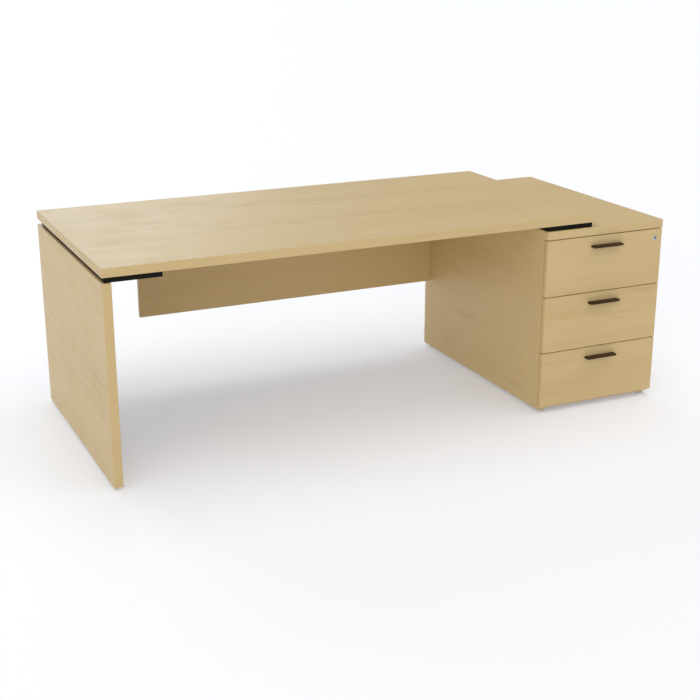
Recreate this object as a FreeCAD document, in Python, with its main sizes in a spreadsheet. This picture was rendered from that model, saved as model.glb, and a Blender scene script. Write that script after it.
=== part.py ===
import FreeCAD, Part
import os
import re

import Sketcher
from FreeCAD import Placement, Rotation, Vector

# Pedestal desk: a worktop on two black rails, one over a slab leg and one over a pedestal of three drawers.
# Millimetres, +X to the sitter's right, +Y away from the sitter, +Z up.
# The origin is on the floor, under the middle of the whole desk.

SIZES = {
    # Whole desk
    "desk_height": 735,
    "worktop_length": 1800,
    "worktop_depth": 900,
    "worktop_thickness": 30,
    "leg_thickness": 30,
    "leg_foot_height": 10,
    # Rails between the worktop and its supports
    "rail_height": 19,
    "rail_wall": 2,
    "rail_side_inset": 7.5,
    "leg_rail_inset": 10,
    "rail_front_inset": 11,
    "rail_back_inset": 35,
    "cap_thickness": 2,
    "cap_plug_length": 10,
    "cap_play": 0.2,
    # Modesty panel
    "modesty_leg_gap": 321,
    "modesty_floor_gap": 295,
    "modesty_back_inset": 22,
    "modesty_thickness": 18,
    "bracket_arm": 40,
    "bracket_width": 30,
    "bracket_wall": 3,
    "bracket_end_inset": 120,
    "bracket_hole_pitch": 16,
    "bracket_hole_reach": 26,
    # Pedestal carcass
    "pedestal_overlap": 200,
    "pedestal_width": 500,
    "pedestal_foot_height": 13,
    "top_thickness": 30,
    "side_thickness": 18,
    "bottom_thickness": 18,
    "back_thickness": 18,
    # Drawer fronts
    "front_thickness": 18,
    "front_gap": 3,
    "front_rise": 11.5,
    "front_side_inset": 1.5,
    "front_seam": 1.5,
    # Drawer boxes
    "box_board": 12,
    "box_bottom_board": 6,
    "box_bottom_rise": 10,
    "box_groove": 5,
    "box_groove_play": 0.2,
    "box_lift": 14,
    "box_head_gap": 15,
    "drawer_back_space": 264,
    # Runners
    "runner_gap": 12.8,
    "runner_height": 45,
    "runner_wall": 1.2,
    "runner_play": 0.4,
    "runner_lip_gap": 2,
    "runner_rise": 45,
    "runner_front_inset": 4,
    "runner_end_inset": 10,
    "runner_screw_inset": 60,
    # Pulls
    "pull_width": 128,
    "pull_reach": 25,
    "pull_thickness": 7,
    "pull_corner": 6,
    "pull_edge": 0.8,
    "pull_drop": 33,
    "pull_screw_pitch": 96,
    "pull_screw_diameter": 3,
    "pull_screw_grip": 10,
    "pull_screw_head_diameter": 6,
    "pull_screw_head_height": 2,
    # Lock and locking bar
    "lock_drop": 33,
    "lock_wall_gap": 15,
    "lock_face_diameter": 21,
    "lock_face_thickness": 3,
    "lock_body_diameter": 19,
    "lock_tail": 4,
    "barrel_diameter": 14,
    "barrel_play": 0.05,
    "barrel_proud": 0.8,
    "barrel_end_play": 0.3,
    "keyway_width": 1.6,
    "keyway_height": 8,
    "keyway_depth": 5,
    "crank_radius": 6,
    "crank_pin_diameter": 4,
    "crank_disc_diameter": 17,
    "crank_disc_thickness": 3,
    "crank_pin_overrun": 2,
    "slot_play": 0.5,
    "slot_rim": 4,
    "bar_thickness": 4,
    "bar_width": 14,
    "bar_play": 0.5,
    "bar_seat_gap": 0.3,
    "bar_setback": 15,
    "bar_foot": 20,
    "hanger_thickness": 3,
    "peg_diameter": 6,
    "peg_reach": 8,
    "peg_clearance": 1.5,
    "hook_height": 12,
    "hook_wall": 1.5,
    "hook_length": 20,
    "hook_reach": 8,
    # Feet
    "leg_foot_diameter": 24,
    "leg_foot_inset": 95,
    "pedestal_foot_diameter": 28,
    "pedestal_foot_side_inset": 27,
    "pedestal_foot_end_inset": 35,
    "foot_edge": 1.5,
    "foot_seat_gap": 0.3,
    "foot_stem_diameter": 8,
    "foot_stem_length": 13,
    "foot_insert_diameter": 12,
    "foot_insert_length": 15,
    # Fasteners
    "fit_gap": 0.05,
    "bolt_diameter": 6,
    "bolt_head_diameter": 11,
    "bolt_head_height": 4,
    "bolt_hole_gap": 0.3,
    "bolt_grip": 12,
    "bolt_end_inset": 90,
    "bolt_rail_inset": 40,
    "driver_gap": 1.5,
    "insert_diameter": 11,
    "insert_length": 15,
    "screw_diameter": 4,
    "screw_length": 14,
    "screw_head_diameter": 8,
    "screw_head_height": 2.5,
    "flush_screw_length": 11,
    "flush_head_diameter": 7,
    "flush_head_height": 1.8,
    "dowel_diameter": 8,
    "dowel_length": 30,
    "dowel_skin": 8,
    "dowel_end_gap": 0.5,
    "dowel_inset": 90,
    "front_bolt_diameter": 6,
    "front_bolt_length": 50,
    "front_bolt_skin": 6,
    "front_bolt_inset": 25,
    "cam_diameter": 15,
    "cam_skin": 5,
    "cam_distance": 34,
    "cam_inset": 150,
    "cam_bolt_diameter": 6,
    "cam_bolt_grip": 11,
    "cam_bolt_gap": 0.2,
}

PLACES = {
    # Outline on the floor: the pulls reach furthest forward
    "overall_length": "worktop_length - pedestal_overlap + pedestal_width",
    "left": "-overall_length / 2",
    "front": "(pull_reach - worktop_depth) / 2",
    "back": "front + worktop_depth",
    "worktop_right": "left + worktop_length",
    "worktop_bottom": "desk_height - worktop_thickness",
    # Rails
    "rail_bottom": "worktop_bottom - rail_height",
    "rail_width": "pedestal_overlap - 2 * rail_side_inset",
    "rail_front": "front + rail_front_inset",
    "rail_back": "back - rail_back_inset",
    "leg_rail_left": "left + leg_rail_inset",
    "pedestal_rail_left": "worktop_right - rail_side_inset - rail_width",
    "bolt_pitch": "(rail_back - rail_front - 2 * bolt_end_inset) / 3",
    # Modesty panel
    "modesty_left": "left + leg_thickness + modesty_leg_gap",
    "modesty_front": "back - modesty_back_inset - modesty_thickness",
    "bracket_pitch": "(pedestal_left - modesty_left - bracket_width) / 2 - bracket_end_inset",
    # Pedestal carcass
    "pedestal_left": "worktop_right - pedestal_overlap",
    "pedestal_right": "pedestal_left + pedestal_width",
    "pedestal_middle": "pedestal_left + pedestal_width / 2",
    "left_wall": "pedestal_left + side_thickness",
    "right_wall": "pedestal_right - side_thickness",
    "carcass_bottom": "pedestal_foot_height",
    "carcass_top": "rail_bottom - top_thickness",
    "carcass_front": "front_back + front_seam",
    "carcass_back": "back - back_thickness",
    "cam_depth": "side_thickness - cam_skin",
    "bottom_cam_depth": "bottom_thickness - cam_skin",
    "cam_bolt_reach": "cam_distance - cam_diameter / 2 - cam_bolt_gap",
    "dowel_side_depth": "side_thickness - dowel_skin",
    # Drawer fronts
    "front_back": "front + front_thickness",
    "front_pitch": "(carcass_top - carcass_bottom - front_rise) / 3",
    "front_height": "front_pitch - front_gap",
    # Drawer boxes stay under the lock's hanger
    "box_left": "left_wall + runner_gap",
    "box_right": "right_wall - runner_gap",
    "box_back": "carcass_back - drawer_back_space",
    "box_height": "front_height - lock_drop - crank_offset - slot_half - slot_rim - box_head_gap - box_lift",
    # Runner sections, outwards from the carcass wall and from the runner's own middle line
    "middle_web": "runner_wall + runner_play",
    "drawer_web": "runner_gap - runner_wall",
    "drawer_lip": "middle_web + runner_wall + runner_play",
    "middle_lip": "drawer_web - runner_play",
    "cabinet_lip": "drawer_web - runner_lip_gap",
    "cabinet_half": "runner_height / 2",
    "middle_half": "cabinet_half - runner_wall - runner_play",
    "drawer_half": "middle_half - runner_wall - runner_play",
    "runner_front": "carcass_front + runner_front_inset",
    "runner_back": "box_back - runner_end_inset",
    # Lock and locking bar: the crank pin starts an eighth of a turn below the level of its axis
    "lock_across": "right_wall - lock_wall_gap",
    "lock_height": "carcass_top - front_gap - lock_drop",
    "lock_face": "front - lock_face_thickness",
    "crank_offset": "crank_radius * sqrt(0.5)",
    "slot_half": "crank_pin_diameter / 2 + slot_play",
    "slot_height": "lock_height - crank_offset",
    "barrel_face": "lock_face - barrel_proud",
    "disc_front": "front_back + lock_tail + barrel_end_play",
    "bar_front": "carcass_front + bar_setback",
    "bar_middle": "bar_front + bar_width / 2",
    "hanger_front": "bar_middle - hanger_thickness / 2",
    "hanger_back": "bar_middle + hanger_thickness / 2",
    "hanger_left": "lock_across + crank_offset - slot_half - slot_rim",
    "hanger_bottom": "slot_height - slot_half - slot_rim",
    "hanger_top": "slot_height + slot_half + slot_rim",
    "peg_lift": "cabinet_half + peg_clearance + peg_diameter / 2",
    "hook_lift": "peg_lift + peg_diameter / 2 + peg_clearance",
    "bar_bottom": "peg_axis_3 - bar_foot",
    "bar_outer": "right_wall + bar_play + bar_thickness",
    "hook_front": "bar_middle + peg_diameter / 2 + peg_clearance",
}
DRAWERS = ("1", "2", "3")
for number in DRAWERS:
    PLACES[f"front_top_{number}"] = f"carcass_top - front_gap - ({number} - 1) * front_pitch"
    PLACES[f"front_low_{number}"] = f"front_top_{number} - front_height"
    PLACES[f"box_low_{number}"] = f"front_low_{number} + box_lift"
    PLACES[f"box_top_{number}"] = f"box_low_{number} + box_height"
    PLACES[f"runner_axis_{number}"] = f"box_low_{number} + runner_rise"
    PLACES[f"peg_axis_{number}"] = f"runner_axis_{number} + peg_lift"

TURN = {
    "+x": Rotation(Vector(0, 0, 1), Vector(1, 0, 0)),
    "-x": Rotation(Vector(0, 0, 1), Vector(-1, 0, 0)),
    "+y": Rotation(Vector(0, 0, 1), Vector(0, 1, 0)),
    "-y": Rotation(Vector(0, 0, 1), Vector(0, -1, 0)),
    "+z": Rotation(),
    "-z": Rotation(Vector(1, 0, 0), 180),
}

doc = FreeCAD.newDocument("pedestal_desk")
nodes = []


def formula(text):
    """Turns bare names of sizes and places into references to their sheet."""

    def reference(match):
        word = match.group()
        if word in SIZES:
            return "sizes." + word
        if word in PLACES:
            return "places." + word
        return word

    return re.sub(r"[a-z][a-z_0-9]*", reference, text)


def fill_sheets():
    """Puts the sizes into one sheet as plain numbers, and the places into another as formulas."""
    sizes = doc.addObject("Spreadsheet::Sheet", "sizes")
    for row, (name, amount) in enumerate(SIZES.items(), start=1):
        sizes.set(f"A{row}", name)
        sizes.set(f"B{row}", str(amount))
        sizes.setAlias(f"B{row}", name)
    places = doc.addObject("Spreadsheet::Sheet", "places")
    for row, name in enumerate(PLACES, start=1):
        places.set(f"A{row}", name)
        places.setAlias(f"B{row}", name)
    for row, text in enumerate(PLACES.values(), start=1):
        places.set(f"B{row}", "=" + formula(text).replace("places.", ""))
    doc.recompute()
    return places


places = fill_sheets()


def spot(x, y, z):
    """A point in numbers, from three formulas."""
    return Vector(*(float(places.evalExpression(formula(text))) for text in (x, y, z)))


def node(label, piece):
    """Names a finished piece and keeps it for the export."""
    piece.Label = label
    nodes.append(piece)
    return piece


def move_to(piece, x, y, z, turn="+z"):
    """Binds a piece's place to formulas, after turning its own Z axis."""
    piece.Placement = Placement(Vector(), TURN[turn])
    for axis, text in zip("xyz", (x, y, z)):
        piece.setExpression(f"Placement.Base.{axis}", formula(text))
    return piece


def block(name, x, y, z):
    """A straight block between a low and a high place on each axis."""
    piece = doc.addObject("Part::Box", name)
    for side, (low, high) in zip(("Length", "Width", "Height"), (x, y, z)):
        piece.setExpression(side, formula(f"({high}) - ({low})"))
    return move_to(piece, x[0], y[0], z[0])


def rod(name, diameter, length, x="0", y="0", z="0", turn="+z"):
    """A round rod that starts at a place and runs along an axis."""
    piece = doc.addObject("Part::Cylinder", name)
    piece.setExpression("Radius", formula(f"({diameter}) / 2"))
    piece.setExpression("Height", formula(length))
    return move_to(piece, x, y, z, turn)


def fuse(name, pieces):
    """Several touching pieces made one solid."""
    piece = doc.addObject("Part::MultiFuse", name)
    piece.Shapes = pieces
    piece.Refine = True
    return piece


def cut(name, base, tools):
    """A piece with other pieces taken out of it."""
    piece = doc.addObject("Part::Cut", name)
    piece.Base = base
    if len(tools) == 1:
        piece.Tool = tools[0]
    else:
        piece.Tool = fuse(name + "_tools", tools)
    return piece


def group(name, pieces):
    """Separate pieces kept together as one node."""
    piece = doc.addObject("Part::Compound", name)
    piece.Links = pieces
    return piece


def copies(name, pattern, places_and_turns):
    """Like pieces, or the holes for them, at a list of points, each with the axis that it points along."""
    doc.recompute()
    shapes = []
    for point, turn in places_and_turns:
        shape = pattern.Shape.copy()
        shape.Placement = Placement(point, TURN[turn])
        shapes.append(shape)
    piece = doc.addObject("Part::Feature", name)
    piece.Shape = Part.makeCompound(shapes)
    return piece


def outline(body, plane, corners):
    """A closed sketch of straight lines, with every corner placed by formulas from the sketch's origin."""
    sketch = body.newObject("Sketcher::SketchObject", body.Name + "_outline")
    support = [feature for feature in body.Origin.OriginFeatures if feature.Role == plane]
    sketch.AttachmentSupport = [(support[0], "")]
    sketch.MapMode = "FlatFace"
    count = len(corners)
    points = [spot(across, up, "0") for across, up in corners]
    for index in range(count):
        sketch.addGeometry(Part.LineSegment(points[index], points[(index + 1) % count]), False)
    for index in range(count):
        sketch.addConstraint(Sketcher.Constraint("Coincident", index, 2, (index + 1) % count, 1))
    for index, corner in enumerate(corners):
        for kind, text, amount in zip(("DistanceX", "DistanceY"), corner, points[index]):
            if text == "0":
                on_axis = {"DistanceX": -2, "DistanceY": -1}[kind]
                sketch.addConstraint(Sketcher.Constraint("PointOnObject", index, 1, on_axis))
            else:
                number = sketch.addConstraint(Sketcher.Constraint(kind, -1, 1, index, 1, amount))
                sketch.setExpression(f"Constraints[{number}]", formula(text))
    return sketch


def turned(name, corners):
    """A round body: a half section, given as radius and height, turned about the Z axis."""
    body = doc.addObject("PartDesign::Body", name)
    sketch = outline(body, "XZ_Plane", corners)
    spin = body.newObject("PartDesign::Revolution", name + "_turning")
    spin.Profile = sketch
    spin.ReferenceAxis = (sketch, ["V_Axis"])
    spin.Angle = 360
    return body


# Fasteners, each drawn once, pointing along +Z from the face that it is driven into


def headed(name, head, head_height, diameter, length):
    """A bolt or screw whose head stands on the face."""
    shank = rod(name + "_shank", diameter, length)
    cap = rod(name + "_head", head, head_height, z=f"-({head_height})")
    return fuse(name, [shank, cap])


def flush_screw(name, gap):
    """A screw with a sunk head; a gap all round makes the hole for it."""
    shank = rod(name + "_shank", f"screw_diameter + 2 * {gap}", f"flush_screw_length + {gap}")
    head = doc.addObject("Part::Cone", name + "_head")
    head.setExpression("Radius1", formula(f"flush_head_diameter / 2 + {gap}"))
    head.setExpression("Radius2", formula(f"screw_diameter / 2 + {gap}"))
    head.setExpression("Height", formula("flush_head_height"))
    return fuse(name, [shank, head])


def sleeve(name, diameter, bore, length):
    """A threaded insert."""
    return cut(name, rod(name + "_body", diameter, length), [rod(name + "_bore", bore, length)])


SHORT_BOLT = headed("short_bolt", "bolt_head_diameter", "bolt_head_height", "bolt_diameter",
                    "rail_wall + bolt_grip")
LONG_BOLT = headed("long_bolt", "bolt_head_diameter", "bolt_head_height", "bolt_diameter",
                   "top_thickness + rail_height + bolt_grip")
SCREW = headed("screw", "screw_head_diameter", "screw_head_height", "screw_diameter", "screw_length")
SCREW_HOLE = rod("screw_hole", "screw_diameter + 2 * fit_gap", "screw_length + fit_gap")
FLUSH_SCREW = flush_screw("flush_screw", "0")
FLUSH_SCREW_HOLE = flush_screw("flush_screw_hole", "fit_gap")
INSERT = sleeve("insert", "insert_diameter", "bolt_diameter + 2 * fit_gap", "insert_length")
INSERT_HOLE = rod("insert_hole", "insert_diameter + 2 * fit_gap", "insert_length")
FOOT_INSERT = sleeve("foot_insert", "foot_insert_diameter", "foot_stem_diameter + 2 * fit_gap",
                     "foot_insert_length")
FOOT_INSERT_HOLE = rod("foot_insert_hole", "foot_insert_diameter + 2 * fit_gap", "foot_insert_length")
BOLT_HOLE = "bolt_diameter + 2 * bolt_hole_gap"
DRIVER_HOLE = "bolt_head_diameter + 2 * driver_gap"

# Bolt rows: four along each rail

BOLT_ROW = [f"rail_front + bolt_end_inset + {step} * bolt_pitch" for step in range(4)]
LEG_BOLT_LINE = "(leg_rail_left + rail_wall + left + leg_thickness) / 2"
WORKTOP_BOLT_LINE = "leg_rail_left + rail_width - bolt_rail_inset"
PEDESTAL_BOLT_LINE = "pedestal_rail_left + rail_width / 2"


def row(line, height, turn):
    """One row of bolts or inserts along a rail."""
    return [(spot(line, across, height), turn) for across in BOLT_ROW]


LEG_INSERTS = row(LEG_BOLT_LINE, "rail_bottom", "-z")
WORKTOP_INSERTS = (row(WORKTOP_BOLT_LINE, "worktop_bottom", "+z")
                   + row(PEDESTAL_BOLT_LINE, "worktop_bottom", "+z"))
SHORT_BOLTS = (row(LEG_BOLT_LINE, "rail_bottom + rail_wall", "-z")
               + row(WORKTOP_BOLT_LINE, "worktop_bottom - rail_wall", "+z"))
LONG_BOLTS = row(PEDESTAL_BOLT_LINE, "carcass_top", "+z")


def row_holes(name, line, diameter, low, high):
    """Round holes through one wall along a row of bolts."""
    return [rod(f"{name}_{step}", diameter, f"({high}) - ({low})", line, across, low)
            for step, across in enumerate(BOLT_ROW)]


# Modesty brackets hang the panel from the worktop

BRACKET_LEFTS = [f"modesty_left + bracket_end_inset + {step} * bracket_pitch" for step in range(3)]


def bracket_screws():
    """Two screws up into the worktop and two back into the panel for each bracket."""
    up, inward = [], []
    for low in BRACKET_LEFTS:
        for side in (-1, 1):
            across = f"{low} + bracket_width / 2 + {side} * bracket_hole_pitch / 2"
            shelf_hole = spot(across, "modesty_front - bracket_hole_reach", "worktop_bottom - bracket_wall")
            wall_hole = spot(across, "modesty_front - bracket_wall", "worktop_bottom - bracket_hole_reach")
            up.append((shelf_hole, "+z"))
            inward.append((wall_hole, "+y"))
    return up, inward


UP_SCREWS, INWARD_SCREWS = bracket_screws()


def make_worktop():
    board = block("worktop_board", ("left", "worktop_right"), ("front", "back"),
                  ("worktop_bottom", "desk_height"))
    holes = [copies("worktop_insert_holes", INSERT_HOLE, WORKTOP_INSERTS),
             copies("worktop_screw_holes", SCREW_HOLE, UP_SCREWS)]
    node("worktop", cut("worktop", board, holes))


def leg_foot_spots(height):
    middle = "left + leg_thickness / 2"
    return [spot(middle, "front + leg_foot_inset", height), spot(middle, "back - leg_foot_inset", height)]


def make_leg():
    board = block("leg_board", ("left", "left + leg_thickness"), ("front", "back"),
                  ("leg_foot_height", "rail_bottom"))
    feet = [(point, "+z") for point in leg_foot_spots("leg_foot_height")]
    holes = [copies("leg_insert_holes", INSERT_HOLE, LEG_INSERTS),
             copies("leg_foot_holes", FOOT_INSERT_HOLE, feet)]
    node("slab_leg", cut("slab_leg", board, holes))


def rail_tube(name, low, holes):
    """A flat steel tube, open at both ends, with its bolt holes."""
    high = f"{low} + rail_width"
    along = ("rail_front + cap_thickness", "rail_back - cap_thickness")
    tube = block(name + "_tube", (low, high), along, ("rail_bottom", "worktop_bottom"))
    hollow = block(name + "_hollow", (f"{low} + rail_wall", f"{high} - rail_wall"), along,
                   ("rail_bottom + rail_wall", "worktop_bottom - rail_wall"))
    node(name, cut(name, tube, [hollow] + holes))


def make_rails():
    lower_wall = ("rail_bottom", "rail_bottom + rail_wall")
    upper_wall = ("worktop_bottom - rail_wall", "worktop_bottom")
    leg_holes = (row_holes("leg_bolt_hole", LEG_BOLT_LINE, BOLT_HOLE, *lower_wall)
                 + row_holes("leg_driver_hole", LEG_BOLT_LINE, DRIVER_HOLE, *upper_wall)
                 + row_holes("worktop_bolt_hole", WORKTOP_BOLT_LINE, BOLT_HOLE, *upper_wall)
                 + row_holes("worktop_driver_hole", WORKTOP_BOLT_LINE, DRIVER_HOLE, *lower_wall))
    rail_tube("leg_rail", "leg_rail_left", leg_holes)
    through = row_holes("pedestal_bolt_hole", PEDESTAL_BOLT_LINE, BOLT_HOLE, "rail_bottom", "worktop_bottom")
    rail_tube("pedestal_rail", "pedestal_rail_left", through)


def make_rail_caps():
    """Plugs with a cover plate close the four tube ends."""
    caps = []
    for name, low in (("leg", "leg_rail_left"), ("pedestal", "pedestal_rail_left")):
        high = f"{low} + rail_width"
        ends = {
            "front": (("rail_front", "rail_front + cap_thickness"),
                      ("rail_front + cap_thickness", "rail_front + cap_thickness + cap_plug_length")),
            "back": (("rail_back - cap_thickness", "rail_back"),
                     ("rail_back - cap_thickness - cap_plug_length", "rail_back - cap_thickness")),
        }
        for end, (plate_along, plug_along) in ends.items():
            plate = block(f"{name}_{end}_plate", (low, high), plate_along, ("rail_bottom", "worktop_bottom"))
            plug = block(f"{name}_{end}_plug",
                         (f"{low} + rail_wall + cap_play", f"{high} - rail_wall - cap_play"), plug_along,
                         ("rail_bottom + rail_wall + cap_play", "worktop_bottom - rail_wall - cap_play"))
            caps.append(fuse(f"{name}_{end}_cap", [plate, plug]))
    node("rail_end_caps", group("rail_end_caps", caps))


def make_rail_fasteners():
    node("rail_bolts", copies("rail_bolts", SHORT_BOLT, SHORT_BOLTS))
    node("pedestal_bolts", copies("pedestal_bolts", LONG_BOLT, LONG_BOLTS))
    node("threaded_inserts", copies("threaded_inserts", INSERT, LEG_INSERTS + WORKTOP_INSERTS))


def make_modesty_panel():
    board = block("modesty_board", ("modesty_left", "pedestal_left"),
                  ("modesty_front", "modesty_front + modesty_thickness"),
                  ("modesty_floor_gap", "worktop_bottom"))
    holes = copies("panel_screw_holes", SCREW_HOLE, INWARD_SCREWS)
    node("modesty_panel", cut("modesty_panel", board, [holes]))


def make_modesty_brackets():
    holes = copies("bracket_screw_holes", SCREW_HOLE, UP_SCREWS + INWARD_SCREWS)
    brackets = []
    for number, low in enumerate(BRACKET_LEFTS):
        across = (low, f"{low} + bracket_width")
        shelf = block(f"bracket_shelf_{number}", across, ("modesty_front - bracket_arm", "modesty_front"),
                      ("worktop_bottom - bracket_wall", "worktop_bottom"))
        wall = block(f"bracket_wall_{number}", across, ("modesty_front - bracket_wall", "modesty_front"),
                     ("worktop_bottom - bracket_arm", "worktop_bottom"))
        brackets.append(cut(f"bracket_{number}", fuse(f"bracket_angle_{number}", [shelf, wall]), [holes]))
    node("modesty_brackets", group("modesty_brackets", brackets))
    node("modesty_screws", copies("modesty_screws", SCREW, UP_SCREWS + INWARD_SCREWS))


# Carcass joints: dowels place the boards and cams draw them together

MIDDLE_ALONG = "(carcass_front + back) / 2"
DEPTH_ROW = ("carcass_front + dowel_inset", MIDDLE_ALONG, "carcass_back - dowel_inset")
BACK_ROW = ("carcass_bottom + dowel_inset", "(carcass_bottom + carcass_top) / 2", "carcass_top - dowel_inset")
CAM_ROW = ("carcass_front + cam_inset", "carcass_back - cam_inset")
SIDE_MIDDLES = {"left": "left_wall - side_thickness / 2", "right": "right_wall + side_thickness / 2"}
WALLS = {"left": "left_wall", "right": "right_wall"}
INWARD = {"left": "+", "right": "-"}
OUTWARD = {"left": "-", "right": "+"}
BOTTOM_MIDDLE = "carcass_bottom + bottom_thickness / 2"
BACK_MIDDLE = "back - back_thickness / 2"


def dowel_spots(start):
    """Where each dowel starts, shifted back by a named amount, and the axis that it points along."""
    spots = []
    for side, wall in WALLS.items():
        turn = INWARD[side] + "x"
        across = f"{wall} {OUTWARD[side]} (dowel_side_depth + {start})"
        for along in DEPTH_ROW:
            spots.append((spot(SIDE_MIDDLES[side], along, f"carcass_top - dowel_length / 2 - {start}"), "+z"))
            spots.append((spot(across, along, BOTTOM_MIDDLE), turn))
        for height in BACK_ROW:
            spots.append((spot(across, BACK_MIDDLE, height), turn))
    return spots


def cam_spots():
    """Cams in the sides draw the top down, and cams under the bottom draw the sides in."""
    side_cams, bottom_cams, bolts = [], [], []
    for side, wall in WALLS.items():
        for along in CAM_ROW:
            side_cams.append((spot(wall, along, "carcass_top - cam_distance"), OUTWARD[side] + "x"))
            bolts.append((spot(SIDE_MIDDLES[side], along, "carcass_top + cam_bolt_grip"), "-z"))
            reach = f"{wall} {INWARD[side]} cam_distance"
            bottom_cams.append((spot(reach, along, "carcass_bottom"), "+z"))
            end = f"{wall} {OUTWARD[side]} cam_bolt_grip"
            bolts.append((spot(end, along, BOTTOM_MIDDLE), INWARD[side] + "x"))
    return side_cams, bottom_cams, bolts


SIDE_CAMS, BOTTOM_CAMS, CAM_BOLTS = cam_spots()
DOWEL = rod("dowel", "dowel_diameter", "dowel_length")
DOWEL_HOLE = rod("dowel_hole", "dowel_diameter + 2 * fit_gap", "dowel_length + 2 * dowel_end_gap")
SIDE_CAM = rod("side_cam", "cam_diameter", "cam_depth")
SIDE_CAM_HOLE = rod("side_cam_hole", "cam_diameter + 2 * fit_gap", "cam_depth")
BOTTOM_CAM = rod("bottom_cam", "cam_diameter", "bottom_cam_depth")
BOTTOM_CAM_HOLE = rod("bottom_cam_hole", "cam_diameter + 2 * fit_gap", "bottom_cam_depth")
CAM_BOLT = rod("cam_bolt", "cam_bolt_diameter", "cam_bolt_grip + cam_bolt_reach")
CAM_BOLT_HOLE = rod("cam_bolt_hole", "cam_bolt_diameter + 2 * fit_gap",
                    "cam_bolt_grip + cam_bolt_reach + cam_bolt_gap")

# Runner screws: three in each cabinet member, two in each drawer member

RUNNER_MIDDLE = "(runner_front + runner_back) / 2"
RUNNER_ENDS = ("runner_front + runner_screw_inset", "runner_back - runner_screw_inset")


def cabinet_screws(number):
    """Sunk screws from the cabinet members out into the carcass sides."""
    return [(spot(f"{wall} {INWARD[side]} runner_wall", along, f"runner_axis_{number}"), OUTWARD[side] + "x")
            for side, wall in WALLS.items() for along in RUNNER_ENDS + (RUNNER_MIDDLE,)]


def drawer_screws(number):
    """Sunk screws from the drawer members in to the box sides."""
    return [(spot(f"{wall} {INWARD[side]} drawer_web", along, f"runner_axis_{number}"), INWARD[side] + "x")
            for side, wall in WALLS.items() for along in RUNNER_ENDS]


CABINET_SCREWS = [place for number in DRAWERS for place in cabinet_screws(number)]


def pedestal_foot_spots(height):
    return [spot(across, along, height)
            for along in ("front + pedestal_foot_end_inset", "back - pedestal_foot_end_inset")
            for across in ("pedestal_left + pedestal_foot_side_inset",
                           "pedestal_right - pedestal_foot_side_inset")]


def carcass_holes(name):
    """Holes for the dowels, cams and cam bolts that join the carcass boards."""
    return [copies(name + "_dowel_holes", DOWEL_HOLE, dowel_spots("dowel_end_gap")),
            copies(name + "_side_cam_holes", SIDE_CAM_HOLE, SIDE_CAMS),
            copies(name + "_bottom_cam_holes", BOTTOM_CAM_HOLE, BOTTOM_CAMS),
            copies(name + "_cam_bolt_holes", CAM_BOLT_HOLE, CAM_BOLTS)]


def make_carcass():
    """The top lies over the sides, with the bottom and back between them. A groove holds the locking bar."""
    inner = ("left_wall", "right_wall")
    depth = ("carcass_front", "back")
    height = ("carcass_bottom", "carcass_top")
    top = block("top_board", ("pedestal_left", "pedestal_right"), ("front", "back"),
                ("carcass_top", "rail_bottom"))
    bolts = row_holes("top_bolt_hole", PEDESTAL_BOLT_LINE, BOLT_HOLE, "carcass_top", "rail_bottom")
    node("pedestal_top", cut("pedestal_top", top, carcass_holes("top") + bolts))
    left = block("left_board", ("pedestal_left", "left_wall"), depth, height)
    left_screws = copies("left_screw_holes", FLUSH_SCREW_HOLE, CABINET_SCREWS)
    node("pedestal_left_side", cut("pedestal_left_side", left, carcass_holes("left") + [left_screws]))
    right = block("right_board", ("right_wall", "pedestal_right"), depth, height)
    right_screws = copies("right_screw_holes", FLUSH_SCREW_HOLE, CABINET_SCREWS)
    groove = block("bar_groove", ("right_wall", "bar_outer + bar_play"),
                   ("bar_front - bar_play", "bar_front + bar_width + bar_play"),
                   ("bar_bottom - bar_seat_gap", "carcass_top"))
    right_holes = carcass_holes("right") + [right_screws, groove]
    node("pedestal_right_side", cut("pedestal_right_side", right, right_holes))
    bottom = block("bottom_board", inner, ("carcass_front", "carcass_back"),
                   ("carcass_bottom", "carcass_bottom + bottom_thickness"))
    feet = [(point, "+z") for point in pedestal_foot_spots("carcass_bottom")]
    foot_holes = copies("pedestal_foot_holes", FOOT_INSERT_HOLE, feet)
    node("pedestal_bottom", cut("pedestal_bottom", bottom, carcass_holes("bottom") + [foot_holes]))
    back = block("back_board", inner, ("carcass_back", "back"), height)
    node("pedestal_back", cut("pedestal_back", back, carcass_holes("back")))


def make_carcass_fasteners():
    node("carcass_dowels", copies("carcass_dowels", DOWEL, dowel_spots("0")))
    cams = [copies("side_cams", SIDE_CAM, SIDE_CAMS), copies("bottom_cams", BOTTOM_CAM, BOTTOM_CAMS)]
    node("carcass_cams", group("carcass_cams", cams))
    node("carcass_cam_bolts", copies("carcass_cam_bolts", CAM_BOLT, CAM_BOLTS))
    node("runner_screws", copies("runner_screws", FLUSH_SCREW, CABINET_SCREWS))


# Runners: three channels, one inside the other, on each side of each drawer


def from_wall(side, near, far):
    """The stretch between two distances from one carcass wall."""
    if side == "left":
        return (f"left_wall + {near}", f"left_wall + {far}")
    return (f"right_wall - ({far})", f"right_wall - ({near})")


def channel(name, side, number, reach, hollow, half):
    """One runner member: a flat channel with its web upright."""
    axis = f"runner_axis_{number}"
    along = ("runner_front", "runner_back")
    bar = block(name + "_bar", from_wall(side, *reach), along, (f"{axis} - {half}", f"{axis} + {half}"))
    inside = f"({half} - runner_wall)"
    space = block(name + "_space", from_wall(side, *hollow), along,
                  (f"{axis} - {inside}", f"{axis} + {inside}"))
    return cut(name, bar, [space])


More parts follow.
